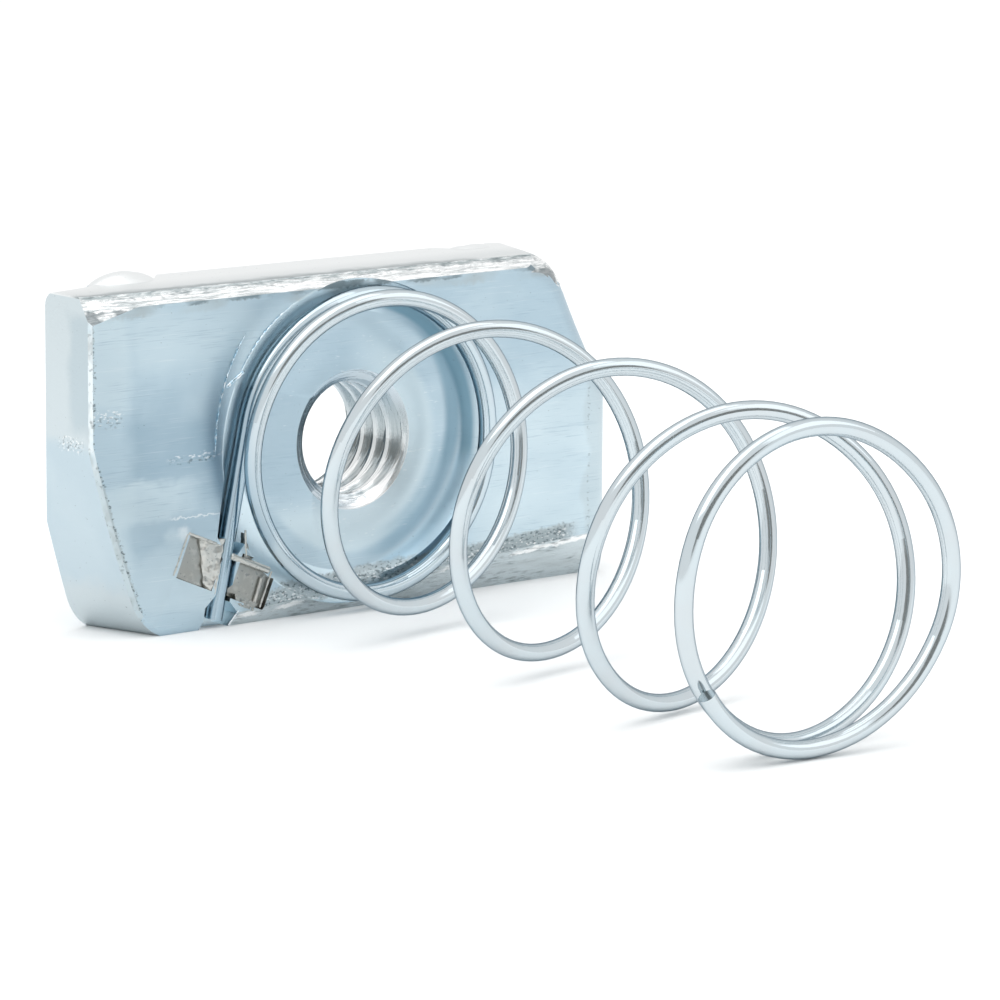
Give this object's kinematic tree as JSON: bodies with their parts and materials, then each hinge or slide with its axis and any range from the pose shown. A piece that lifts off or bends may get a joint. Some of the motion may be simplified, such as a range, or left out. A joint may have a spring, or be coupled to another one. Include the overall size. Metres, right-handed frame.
{
  "type": "strut spring nut",
  "caption": "Toothed channel nut with a threaded hole and a long coil spring fixed to its back, for clamping brackets to slotted steel strut.",
  "frame": {"origin": "on the axis of the threaded hole, at the toothed face where the bolt enters", "axes": "+Y along the hole, out of the toothed face; the spring stands out towards -Y; +X along the nut's length; +Z across its width, up as it stands on its long narrow side"},
  "size_m": [0.0384, 0.0547, 0.0206],
  "materials": {
    "plated_steel": "bright zinc plating",
    "spring_wire": "bright zinc plating"
  },
  "bodies": {
    "root": {"nut_body": "plated_steel", "coil_spring": "spring_wire"}
  },
  "joints": []
}
